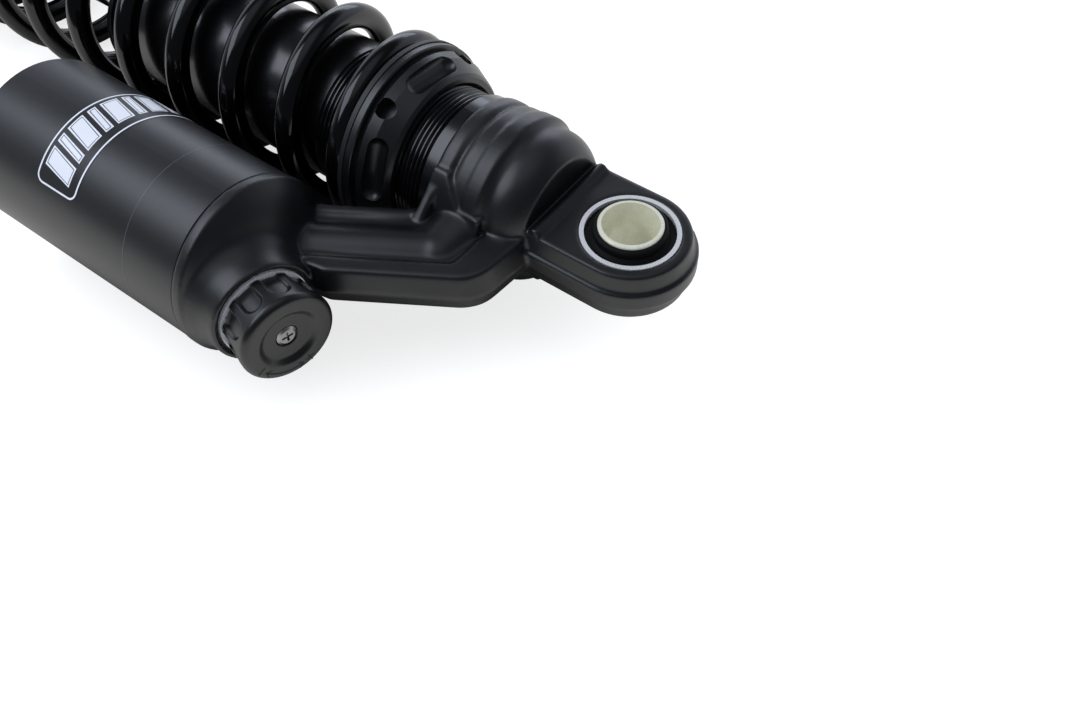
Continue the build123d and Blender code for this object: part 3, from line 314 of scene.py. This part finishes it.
# The etch leaves a fine matt grain, which is drawn 0.3 mm wide so that it shows.
anodised = finish("satin black anodising on turned aluminium", "#0e0f10", IOR=1.6)
etch_grain = 0.3 * mm
broken_edge = 0.25 * mm
grain = grained(anodised, etch_grain, detail=2.0, polished=0.3, dull=0.36)
round_edge = add(anodised.node_tree, "ShaderNodeBevel", {"Radius": broken_edge}, samples=6)
bump = add(anodised.node_tree, "ShaderNodeBump", {
    "Height": grain, "Strength": 0.12, "Distance": 0.03 * mm,
    "Normal": round_edge.outputs["Normal"],
})
drive(anodised, "Normal", bump.outputs["Normal"])
dress(anodised, "preload_ring", "body_end_cap", "lower_spring_seat", "rebound_adjuster_wheel")

# The knob's flutes are wide and shallow with narrow ribs between them, its rim is well
# rounded and its face sinks into a smooth dish round the screw. Sizes are in millimetres.
knob_middle = Vector((knob_x, knob_y, 0)) * mm
knob_out = Vector((math.cos(knob_lean), -math.sin(knob_lean), 0))
knob_up = Vector((0, 0, 1))
knob_side = knob_out.cross(knob_up)
knob_foot = 0.1
knob_top = 12.1
knob_edge_r = 13.8
knob_base_r = 13.0
foot_mid_r = 9.0
foot_chamfer = 0.2
side_start = 0.3
rim_round = 2.0
dish_r = 9.5
dish_margin = 0.5
dish_slope = 2.6
dish_depth = 1.5
screw_r = 3.2
screw_chamfer = 0.3
screw_sink = 3.0
bore_r = 3.0
flute_count = 10
flute_turn = math.radians(-16.0)
flute_half_width = 3.2
flute_length = 8.8
flute_depth = 0.85
flute_wall = 0.9
fluted_from_r = 12.0
side_rows = 44
rim_rows = 12
dish_rows = 16
knob_turns = 400


def on_knob(height, radius, turn):
    """A point at that height above the boss, radius from the knob's axis and turn from the top."""
    return knob_middle + mm * (height * knob_out
                               + radius * (math.cos(turn) * knob_up + math.sin(turn) * knob_side))


def flute_cut(height, turn):
    """How far the flutes cut into the knob's side there."""
    pitch = 2 * math.pi / flute_count
    across = ((turn - flute_turn + pitch / 2) % pitch - pitch / 2) * knob_edge_r
    beyond = max(height - (flute_length - flute_half_width), 0.0)
    inside = flute_half_width - math.hypot(across, beyond)
    return flute_depth * float(smooth_step(inside, 0.0, flute_wall))


def mesh_of(name, points, faces):
    """A new mesh with those points and faces."""
    mesh = bpy.data.meshes.new(name)
    mesh.from_pydata(points, [], faces)
    return mesh


profile = [(knob_foot, bore_r), (knob_foot, foot_mid_r), (knob_foot, knob_base_r - foot_chamfer)]
for row in range(side_rows + 1):
    share = row / side_rows
    height = side_start + share * (knob_top - rim_round - side_start)
    profile.append((height, knob_base_r + share * (knob_edge_r - knob_base_r)))
for row in range(1, rim_rows + 1):
    turn = math.pi / 2 * row / rim_rows
    profile.append((knob_top - rim_round * (1 - math.sin(turn)),
                    knob_edge_r - rim_round * (1 - math.cos(turn))))
profile.append((knob_top, dish_r + dish_margin))
for row in range(dish_rows + 1):
    share = row / dish_rows
    profile.append((knob_top - dish_depth * float(smooth_step(share, 0.0, 1.0)),
                    dish_r - dish_slope * share))
dish_floor = knob_top - dish_depth
profile += [(dish_floor, screw_r + screw_chamfer), (dish_floor - screw_chamfer, screw_r),
            (dish_floor - screw_sink, screw_r), (dish_floor - screw_sink, bore_r)]
points = []
for height, radius in profile:
    for k in range(knob_turns):
        turn = 2 * math.pi * k / knob_turns
        cut = flute_cut(height, turn) if radius > fluted_from_r else 0.0
        points.append(on_knob(height, radius - cut, turn))
faces = []
for row in range(len(profile)):
    here = row * knob_turns
    above = (row + 1) % len(profile) * knob_turns
    for k in range(knob_turns):
        beside = (k + 1) % knob_turns
        faces.append((here + k, here + beside, above + beside, above + k))
sharp_edge = math.radians(40)
knob = into_scene("fluted_knob", mesh_of("fluted_knob", points, faces), anodised)
knob.data.shade_smooth()
knob.data.set_sharp_from_angle(angle=sharp_edge)
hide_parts("compression_knob")
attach(knob, "compression_knob")

# Marks filled with black paint: an arc with an arrowhead at each end, a minus and a plus.
# Sizes are in millimetres and degrees round the face.
mark_fill = finish("black paint in the engraved marks", "#020202", Roughness=0.6)
mark_r = 11.3
mark_width = 0.42
mark_lift = 0.03
arc_start = 128
arc_end = 188
arc_step = 5
arrow_turn = 6
arrow_half_width = 1.0
minus_at = 118
plus_at = 200
sign_half = 1.2
sign_half_turn = 6


def mark_line(ends):
    """A quad between two (radius, degrees) points on the knob's face, as wide as the marks."""
    flat = []
    for radius, degrees in ends:
        turn = math.radians(degrees)
        flat.append(Vector((radius * math.cos(turn), radius * math.sin(turn))))
    along = (flat[1] - flat[0]).normalized() * mark_width / 2
    beside = Vector((-along.y, along.x))
    corners = (flat[0] - along - beside, flat[1] + along - beside,
               flat[1] + along + beside, flat[0] - along + beside)
    return [knob_middle + mm * ((knob_top + mark_lift) * knob_out + c.x * knob_up + c.y * knob_side)
            for c in corners]


strokes = [((mark_r, turn), (mark_r, turn + arc_step)) for turn in range(arc_start, arc_end, arc_step)]
for tip, tail in ((arc_start, arc_start + arrow_turn), (arc_end, arc_end - arrow_turn)):
    strokes += [((mark_r, tip), (mark_r + arrow_half_width, tail)),
                ((mark_r, tip), (mark_r - arrow_half_width, tail))]
strokes += [((mark_r - sign_half, turn), (mark_r + sign_half, turn)) for turn in (minus_at, plus_at)]
strokes.append(((mark_r, plus_at - sign_half_turn), (mark_r, plus_at + sign_half_turn)))
points = []
faces = []
for ends in strokes:
    faces.append(tuple(range(len(points), len(points) + 4)))
    points += mark_line(ends)
marks = into_scene("knob_marks", mesh_of("knob_marks", points, faces), mark_fill)
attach(marks, "compression_knob")


# Coil spring
# Round steel wire, coiled, with both ends closed and ground flat, then powder coated gloss
# black. It is drawn here in two lengths.

wire_r = 3.8 * mm
coil_r = 27.5 * mm
active_pitch = 23.9 * mm
closed_pitch = 7.0 * mm
closed_turns = 0.7
ground_depth = 4.2 * mm
tip_angle = math.radians(250.0)
ease_turns = 0.5
spring_top = 80.54 * mm
spring_bottom = 289.98 * mm
wire_sides = 40
steps_per_turn = 72
short_turn = 1e-4


def pitch_ramp(turns):
    """Turns taken at the active pitch, with the pitch easing in over half a turn."""
    share = min(max(turns / ease_turns + 0.5, 0.0), 1.0)
    eased = ease_turns * (share ** 3 - 0.5 * share ** 4)
    return eased + max(turns - 0.5 * ease_turns, 0.0)


travel = spring_bottom - spring_top - 2 * (wire_r - ground_depth)
active_turns = (travel - 2 * closed_turns * closed_pitch) / active_pitch
total_turns = active_turns + 2 * closed_turns
extra_pitch = (travel - closed_pitch * total_turns) / active_turns


def wire_centre(turns):
    """The middle of the wire that many turns from its upper tip."""
    angle = 2 * math.pi * turns - tip_angle
    rising = turns - closed_turns
    active = pitch_ramp(rising) - pitch_ramp(rising - active_turns)
    along = spring_top + wire_r - ground_depth + closed_pitch * turns + extra_pitch * active
    return Vector((-along, coil_r * math.sin(angle), coil_r * math.cos(angle)))


def wire_length(name, start, end):
    """A length of the spring's wire as a mesh, cut flat at the ground ends."""
    steps = max(2, round((end - start) * steps_per_turn))
    points = []
    faces = []
    for i in range(steps + 1):
        turns = start + (end - start) * i / steps
        middle = wire_centre(turns)
        along = (wire_centre(turns + short_turn) - wire_centre(turns - short_turn)).normalized()
        away = Vector((0, middle.y, middle.z)).normalized()
        away = (away - along * away.dot(along)).normalized()
        side = along.cross(away)
        for k in range(wire_sides):
            turn = 2 * math.pi * k / wire_sides
            point = middle + wire_r * (math.cos(turn) * away + math.sin(turn) * side)
            point.x = max(min(point.x, -spring_top), -spring_bottom)
            points.append(point)
    for i in range(steps):
        row = i * wire_sides
        for k in range(wire_sides):
            after = (k + 1) % wire_sides
            faces.append((row + k, row + after, row + wire_sides + after, row + wire_sides + k))
    faces.append(tuple(range(wire_sides)))
    faces.append(tuple(reversed(range(steps * wire_sides, (steps + 1) * wire_sides))))
    piece = into_scene(name, mesh_of(name, points, faces), powder)
    piece.data.shade_smooth()
    piece.data.set_sharp_from_angle(angle=sharp_edge)
    return piece


# Powder coat: wet gloss with a slight orange peel that breaks up the long highlights.
powder = finish("gloss black powder coat", "#030303", Roughness=0.12, IOR=1.5)
orange_peel = 2.0 * mm
tree = powder.node_tree
place = add(tree, "ShaderNodeTexCoord", {}).outputs["Object"]
peel = add(tree, "ShaderNodeTexNoise", {"Vector": place, "Scale": 1 / orange_peel, "Detail": 1.0})
bump = add(tree, "ShaderNodeBump", {
    "Height": peel.outputs["Fac"], "Strength": 0.3, "Distance": 0.04 * mm,
})
drive(powder, "Normal", bump.outputs["Normal"])

split_turn = 1.5
upper_wire = wire_length("spring_upper_coils", 0.0, split_turn)
lower_wire = wire_length("spring_lower_coils", split_turn, total_turns)
for wire in (upper_wire, lower_wire):
    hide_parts("coil_spring")
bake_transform(upper_wire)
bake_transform(lower_wire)


# Reservoir tube and its printed label
# Aluminium tube, anodised satin black, wrapped in clear film that ends in a fine step.
# A plain keyline frame with slanted bars is printed in white under the film.

# The same etched finish as the preload ring's, with a slightly duller sheen.
tube = finish("satin black anodised tube", "#131416", IOR=1.6)
grained(tube, etch_grain, detail=2.0, polished=0.34, dull=0.4)
dress(tube, "reservoir_tube")

# Printing ink and film lie on the tube in layers, a few hundredths of a millimetre apart.
ground_lift = 0.03 * mm
film_lift = 0.04 * mm
ink_lift = 0.05 * mm
line_lift = 0.07 * mm
facet = 2


def on_tube(along, angle, lift):
    """A point on the reservoir, along it and round it from the top, lifted off the tube."""
    turn = math.radians(angle)
    radius = reservoir_r * mm + lift
    return Vector((-along, reservoir_y * mm - radius * math.sin(turn), radius * math.cos(turn)))


def wrapped(name, outline, lift, material):
    """A flat printed shape, as (along, angle) quads in mm and degrees, wrapped on the tube."""
    points = []
    faces = []
    for quad in outline:
        start = len(points)
        (a0, t0), (a1, t1), (a2, t2), (a3, t3) = quad
        steps = max(1, math.ceil(max(abs(t1 - t0), abs(t2 - t3)) / facet))
        rows = max(1, math.ceil(max(abs(t0 - t3), abs(t1 - t2)) / facet))
        for i in range(steps + 1):
            s = i / steps
            for j in range(rows + 1):
                r = j / rows
                along = (a0 + (a1 - a0) * s) * (1 - r) + (a3 + (a2 - a3) * s) * r
                angle = (t0 + (t1 - t0) * s) * (1 - r) + (t3 + (t2 - t3) * s) * r
                points.append(on_tube(along * mm, angle, lift))
        for i in range(steps):
            for j in range(rows):
                k = start + i * (rows + 1) + j
                faces.append((k, k + rows + 1, k + rows + 2, k + 1))
    piece = into_scene(name, mesh_of(name, points, faces), material)
    piece.data.shade_smooth()
    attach(piece, "damper_and_head")


ink_white = finish("white printing ink", "#eef0f4", Roughness=0.45)
ink_black = finish("black printing ink", "#17181b", Roughness=0.4)

# Places along the tube are millimetres from the upper eye, and places round it are degrees.
label_near = 124.0
label_far = 140.2
label_low = 52.8
label_high = -74.0
keyline = 0.55
edge_line = 0.3
corner_r = 2.6
corner_steps = 6
degree = 180 / math.pi / reservoir_r


def frame_outline(inset):
    """The label's rounded outline, drawn in from its edge, as (along, angle) points."""
    near = label_near + inset
    far = label_far - inset
    low = label_low - inset * degree
    high = label_high + inset * degree
    r = corner_r - inset
    points = []
    for middle, first in (((far - r, low - r * degree), 0), ((near + r, low - r * degree), 90),
                          ((near + r, high + r * degree), 180), ((far - r, high + r * degree), 270)):
        for step in range(corner_steps + 1):
            turn = math.radians(first + 90 * step / corner_steps)
            points.append((middle[0] + r * math.cos(turn), middle[1] + r * degree * math.sin(turn)))
    return points


def between(outside, inside):
    """Quads that fill the gap between two outlines, or between two bars."""
    count = len(outside)
    return [(outside[i], outside[(i + 1) % count], inside[(i + 1) % count], inside[i])
            for i in range(count)]


outer = frame_outline(0.0)
inner = frame_outline(keyline)
wrapped("label_keyline", between(outer, inner), ink_lift, ink_white)
wrapped("label_edge", between(frame_outline(-edge_line), outer), ink_lift, ink_black)

# The ground is printed in strips across the label, from one outline point to its opposite.
count = len(inner)
ground = []
for i in range(count // 4, 3 * count // 4):
    other = (count // 2 - 1 - i) % count
    after = (other - 1) % count
    ground.append((inner[i], inner[i + 1], inner[after], inner[other]))
wrapped("label_ground", ground, ground_lift, ink_black)

near_margin = 3.4
far_margin = 1.7
end_margin = 3.0
bar_near = label_near + near_margin
bar_far = label_far - far_margin
bar_slant = 2.4 * degree
bar_widths = (5.6, 2.8)
bar_gap = 1.5
inline_inset = 0.5
inline_width = 0.2


def bar(start, width, inset):
    """Corners of a slanted bar that starts at that angle, drawn in from its edge."""
    first = start - inset * degree
    last = start - (width - inset) * degree
    near = bar_near + inset
    far = bar_far - inset
    return (near, first), (near, last), (far, last - bar_slant), (far, first - bar_slant)


bars = []
inlines = []
bar_start = label_low - end_margin * degree
last_end = label_high + end_margin * degree + bar_slant
width = bar_widths[0]
while bar_start - width * degree > last_end:
    bars.append(bar(bar_start, width, 0.0))
    inlines += between(bar(bar_start, width, inline_inset),
                       bar(bar_start, width, inline_inset + inline_width))
    bar_start -= (width + bar_gap) * degree
    width = bar_widths[len(bars) % 2]
wrapped("label_bars", bars, ink_lift, ink_white)
wrapped("label_bar_lines", inlines, line_lift, ink_black)

# Painted highlight: a mid grey line all round the tube stands for the light that the film's cut edge
# catches.
film_edge_highlight = finish("painted highlight on the film's cut edge", "#6a6d70", Roughness=0.3)
film_end = 103.0
film_line = 0.14
film_step = 6
film_quads = [((film_end, angle), (film_end, angle + film_step),
               (film_end + film_line, angle + film_step), (film_end + film_line, angle))
              for angle in range(-180, 180, film_step)]
wrapped("film_edge", film_quads, film_lift, film_edge_highlight)


# Reservoir end cap, gas valve and rings
# The turned cap is held by a wire ring, and its gas valve has a moulded dust cap.
# The small steel parts of the damper and of both adjusters have the ring's plain finish.

dress(anodised, "reservoir_end_cap")

spring_steel = finish("plain spring steel", "#9b9b9c", Metallic=1.0, Roughness=0.3)
dress(spring_steel, "end_cap_snap_ring", "seal_head_snap_ring", "rebound_detent_spring",
      "knob_detent_spring", "rebound_detent_ball", "knob_detent_ball", "compression_shims",
      "rebound_shims", "shim_backing_washers", "knob_screw")

# Brass turned to a clean bright yellow, and acetal with the soft sheen of its mould.
brass = finish("turned brass", "#c9a55c", Metallic=1.0, Roughness=0.26)
dress(brass, "gas_valve", "compression_needle", "rebound_needle_rod", "valve_cartridge")

acetal = finish("moulded black acetal", "#1b1b1c", Roughness=0.48, IOR=1.48)
dress(acetal, "gas_valve_cap", "spring_thrust_washer")


# Piston rod and the pieces inside the damper
# Ground hard chrome on the rod, plain turned aluminium for the pistons and the seal head,
# bearing bands of bronze filled tape, and a bump rubber of foam on the rod.

# The chrome is a mirror, and the turned aluminium scatters light to a bright sheen.
chrome = finish("ground hard chrome", "#d3d4d6", Metallic=1.0, Roughness=0.08)
dress(chrome, "piston_rod")

aluminium = finish("turned aluminium", "#d6d7d9", Metallic=1.0, Roughness=0.3)
dress(aluminium, "piston", "seal_head", "floating_piston")

# The tape is a waxy brown, and the foam has hardly any shine.
bearing_tape = finish("bronze filled bearing tape", "#6d5a3c", Roughness=0.5)
dress(bearing_tape, "piston_band", "floating_piston_band", "rod_guide_bush")

foam = finish("microcellular bump rubber", "#1d1d1e", Roughness=0.8)
dress(foam, "bump_rubber")


# Floor
# A white table that takes the shock's soft shadow, partly real and partly painted: the camera
# and mirrored rays see it glow at a strength of 1, with a painted shadow where the shock stands close over
# it.

floor_level = -32.2 * mm
floor_reach = 6.0
shadow_reach = 0.13
corners = [(-floor_reach, -floor_reach, floor_level), (floor_reach, -floor_reach, floor_level),
           (floor_reach, floor_reach, floor_level), (-floor_reach, floor_reach, floor_level)]
table = finish("white table top", "#ebebeb", Roughness=0.9)
floor = into_scene("floor", mesh_of("floor", corners, [(0, 1, 2, 3)]), table)

tree = table.node_tree
seen = add(tree, "ShaderNodeLightPath", {})
open_sky = add(tree, "ShaderNodeAmbientOcclusion", {"Distance": shadow_reach}, samples=8)
mirrored = add(tree, "ShaderNodeMath", {
    0: seen.outputs["Is Glossy Ray"], 1: seen.outputs["Is Transmission Ray"],
}, operation="MAXIMUM")

# Painted shadow: how strongly the table glows in a mirror and in view, by how open the sky is over it.
painted_shadow_in_mirror = add(tree, "ShaderNodeMapRange", {
    "Value": open_sky.outputs["AO"], "From Min": 0.35, "From Max": 0.95, "To Min": 0.02, "To Max": 1.0,
}, interpolation_type="SMOOTHSTEP")
painted_shadow_in_view = add(tree, "ShaderNodeMapRange", {
    "Value": open_sky.outputs["AO"], "From Min": 0.3, "From Max": 0.72, "To Min": 0.76, "To Max": 1.0,
})
strength = add(tree, "ShaderNodeMix", {
    0: mirrored.outputs["Value"], 2: painted_shadow_in_view.outputs["Result"], 3: painted_shadow_in_mirror.outputs["Result"],
})

# In view the glow and its painted shadow lie over a matt grey that takes the real shadow; a mirror sees
# the glow alone.
matt = add(tree, "ShaderNodeBsdfDiffuse", {"Color": linear("#808080")})
white = add(tree, "ShaderNodeEmission", {"Color": linear("#ffffff"), "Strength": strength.outputs[0]})
in_camera = add(tree, "ShaderNodeAddShader", {0: matt.outputs["BSDF"], 1: white.outputs["Emission"]})
shown = add(tree, "ShaderNodeMixShader", {
    0: mirrored.outputs["Value"], 1: in_camera.outputs["Shader"], 2: white.outputs["Emission"],
})

# All other rays meet the plain white table, so the glow puts no light on the shock.
either = add(tree, "ShaderNodeMath", {
    0: seen.outputs["Is Camera Ray"], 1: mirrored.outputs["Value"],
}, operation="MAXIMUM")
both = add(tree, "ShaderNodeMixShader", {
    0: either.outputs["Value"], 1: tree.nodes["Principled BSDF"].outputs["BSDF"],
    2: shown.outputs["Shader"],
})
tree.links.new(both.outputs["Shader"], tree.nodes["Material Output"].inputs["Surface"])


# Studio light
# A room with a bright wall behind the shock that fades towards the camera, a dark band over
# it and a lighter ceiling. A large soft box hangs high on the camera's left, and a wide low
# one behind the shock draws its far edges.

world = bpy.data.worlds.new("white studio")
bpy.context.scene.world = world
world.use_nodes = True
tree = world.node_tree
sky = tree.nodes["Background"]

# The room throws a cool white light, and the camera sees a neutral white.
seen = add(tree, "ShaderNodeLightPath", {})
hue = add(tree, "ShaderNodeMix", {
    0: seen.outputs["Is Camera Ray"], 6: linear("#e3eafa"), 7: linear("#ffffff"),
}, data_type="RGBA")
tree.links.new(hue.outputs[2], sky.inputs["Color"])

# Shiny surfaces mirror this room: the wall's light by direction, and the ceiling's by height.
bright_wall = (-0.61, 0.79, 0.0)
toward = add(tree, "ShaderNodeTexCoord", {}).outputs["Generated"]
height = add(tree, "ShaderNodeSeparateXYZ", {"Vector": toward}).outputs["Z"]
behind = add(tree, "ShaderNodeVectorMath", {0: toward, 1: bright_wall}, operation="DOT_PRODUCT")
wall = add(tree, "ShaderNodeMapRange", {
    "Value": behind.outputs["Value"], "From Min": -0.2, "From Max": 0.7, "To Min": 0.1, "To Max": 1.0,
}, interpolation_type="SMOOTHSTEP")
above = add(tree, "ShaderNodeMapRange", {
    "Value": height, "From Min": 0.4, "From Max": 0.65,
}, interpolation_type="SMOOTHSTEP")
ceiling = add(tree, "ShaderNodeMapRange", {
    "Value": height, "From Min": 0.8, "From Max": 0.97, "To Min": 0.11, "To Max": 0.55,
}, interpolation_type="SMOOTHSTEP")
room = add(tree, "ShaderNodeMix", {
    0: above.outputs["Result"], 2: wall.outputs["Result"], 3: ceiling.outputs["Result"],
})

# Matt surfaces are lit evenly from all round, and the camera sees a strength of 1.
even_light = 0.75
lit = add(tree, "ShaderNodeMix", {0: seen.outputs["Is Diffuse Ray"], 2: room.outputs[0], 3: even_light})
strength = add(tree, "ShaderNodeMix", {0: seen.outputs["Is Camera Ray"], 2: lit.outputs[0], 3: 1.0})
tree.links.new(strength.outputs[0], sky.inputs["Strength"])

lamp_colour = (0.82, 0.89, 1.0)
lamp_distance = 1.2
lamp_aim = Vector((-0.04, -0.03, 0))


def soft_box(name, azimuth, elevation, width, height, power):
    """A rectangular lamp that faces the middle of the head from that direction."""
    lamp = bpy.data.lights.new(name, "AREA")
    lamp.shape = "RECTANGLE"
    lamp.size = width
    lamp.size_y = height
    lamp.energy = power
    lamp.color = lamp_colour
    turn = math.radians(azimuth)
    rise = math.radians(elevation)
    toward = Vector((math.cos(turn) * math.cos(rise), math.sin(turn) * math.cos(rise), math.sin(rise)))
    box = bpy.data.objects.new(name, lamp)
    box.location = lamp_aim + lamp_distance * toward
    box.rotation_euler = toward.to_track_quat("Z", "Y").to_euler()
    bpy.context.scene.collection.objects.link(box)


soft_box("key soft box", azimuth=-143, elevation=50, width=0.9, height=0.7, power=6.0)
soft_box("rim strip", azimuth=122, elevation=18, width=0.9, height=0.35, power=1.6)


# Camera
# A lens of about 36 mm on a frame 36 mm wide, 0.3 m away, looking down over the reservoir
# at the knob and the head.

position = Vector((104.67, -176.90, 218.85)) * mm
heading = math.radians(37.71)
drop = math.radians(52.64)
tilt = math.radians(-1.43)
back = Vector((math.sin(heading) * math.cos(drop), -math.cos(heading) * math.cos(drop), math.sin(drop)))
level = Vector((math.cos(heading), math.sin(heading), 0))
upright = back.cross(level)
right = math.cos(tilt) * level + math.sin(tilt) * upright
up = math.cos(tilt) * upright - math.sin(tilt) * level
lens = bpy.data.cameras.new("camera")
lens.sensor_width = 36.0
lens.lens = 35.77
lens.clip_start = 0.01
camera = bpy.data.objects.new("camera", lens)
camera.matrix_world = Matrix.Translation(position) @ Matrix((right, up, back)).transposed().to_4x4()
bpy.context.scene.collection.objects.link(camera)
bpy.context.scene.camera = camera
bpy.context.scene.view_settings.view_transform = "Standard"
